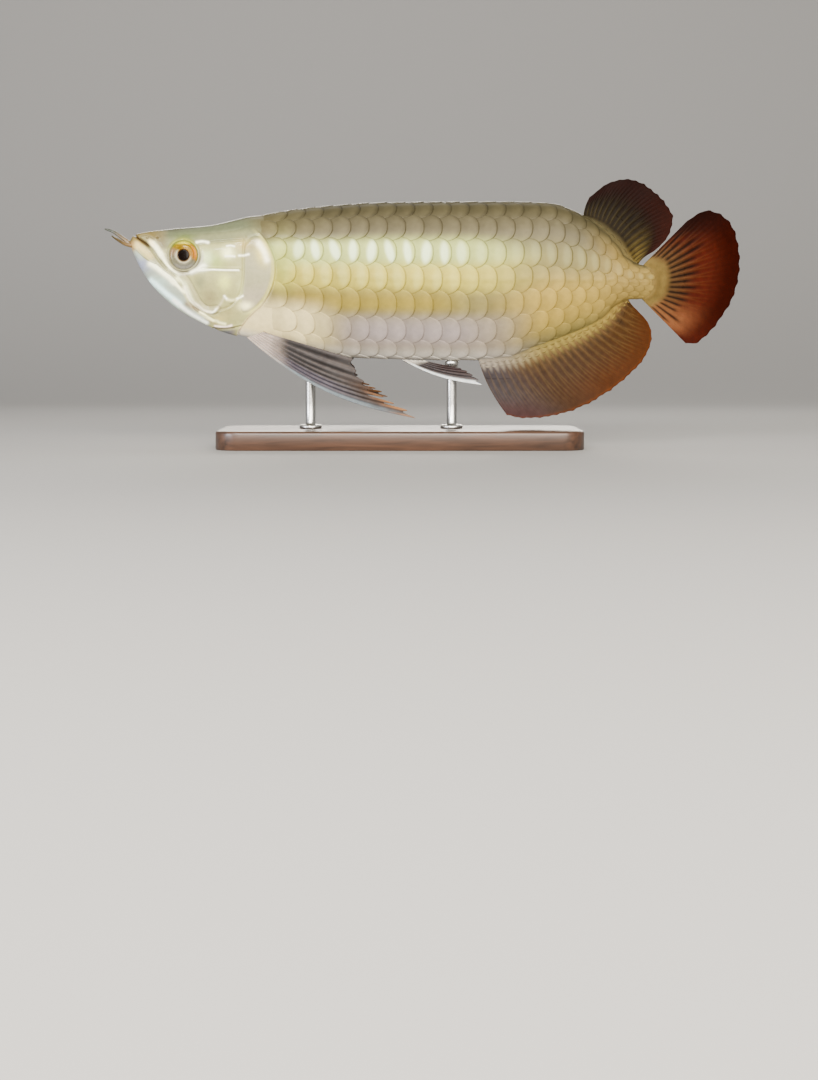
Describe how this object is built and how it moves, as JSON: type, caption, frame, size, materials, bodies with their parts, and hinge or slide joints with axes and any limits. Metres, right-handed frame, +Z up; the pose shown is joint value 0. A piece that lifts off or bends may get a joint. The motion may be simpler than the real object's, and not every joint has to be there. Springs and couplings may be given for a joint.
{
  "type": "display model of an asian arowana",
  "caption": "Life-size swimming Asian arowana with large overlapping scales, ray fins and chin barbels, held over a flat wooden base by slim rods.",
  "frame": {"origin": "middle of the underside of the stand's base", "axes": "-X towards the head, -Y towards the fish's left side, +Z up"},
  "size_m": [0.5144, 0.1305, 0.2134],
  "materials": {
    "skull": "wet pearly bone plates, cream to gold",
    "scales": "pearly gold scales with pale blue-white glints, olive on the back, lilac-white on the belly",
    "eye": "wet gloss, gold iris round a black-brown pupil",
    "barbel": "satin orange-brown skin",
    "pale_fin": "satin pale lilac rays and membrane, orange at the tips",
    "red_fin": "satin olive to brown-red rays and membrane",
    "stand_wood": "dark satin lacquered wood",
    "stand_steel": "fine brushed satin"
  },
  "bodies": {
    "root": {"head": "skull", "lower_jaw": "skull", "maxilla_left": "skull", "maxilla_right": "skull", "gill_cover_left": "skull", "gill_cover_right": "skull", "torso": "scales", "tail_stem": "scales", "eye_left": "eye", "eye_right": "eye", "barbel_left": "barbel", "barbel_right": "barbel", "pectoral_fin_left": "pale_fin", "pectoral_fin_right": "pale_fin", "pelvic_fin_left": "pale_fin", "pelvic_fin_right": "pale_fin", "dorsal_fin": "red_fin", "anal_fin": "red_fin", "tail_fin": "red_fin", "stand_base": "stand_wood", "stand_rod_front": "stand_steel", "stand_rod_rear": "stand_steel"}
  },
  "joints": []
}
